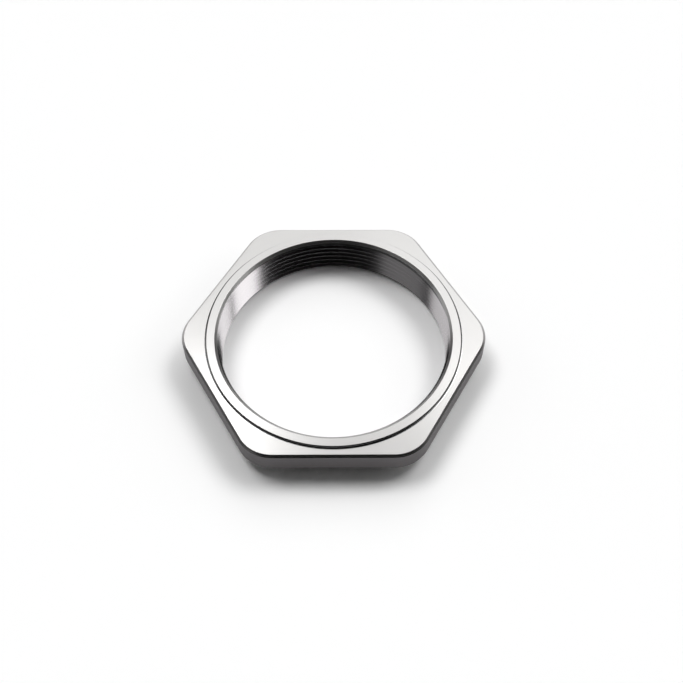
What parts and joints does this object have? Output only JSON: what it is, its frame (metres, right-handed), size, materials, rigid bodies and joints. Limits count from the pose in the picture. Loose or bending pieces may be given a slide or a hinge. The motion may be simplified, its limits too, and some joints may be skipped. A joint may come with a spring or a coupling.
{
  "type": "axle nut",
  "caption": "Thin hexagonal axle nut with a wide fine-threaded bore, a low raised land on its outer face and a plain round collar that seats it.",
  "frame": {"origin": "centre of the collar's lower face, on the thread's axis", "axes": "+Z along the thread's axis, out of the nut's outer face; +Y normal to one of the six flats; +X through a corner"},
  "size_m": [0.0722, 0.065, 0.01],
  "materials": {
    "turned_steel": "fine turned and milled, satin bright"
  },
  "bodies": {
    "root": {"axle_nut": "turned_steel"}
  },
  "joints": []
}
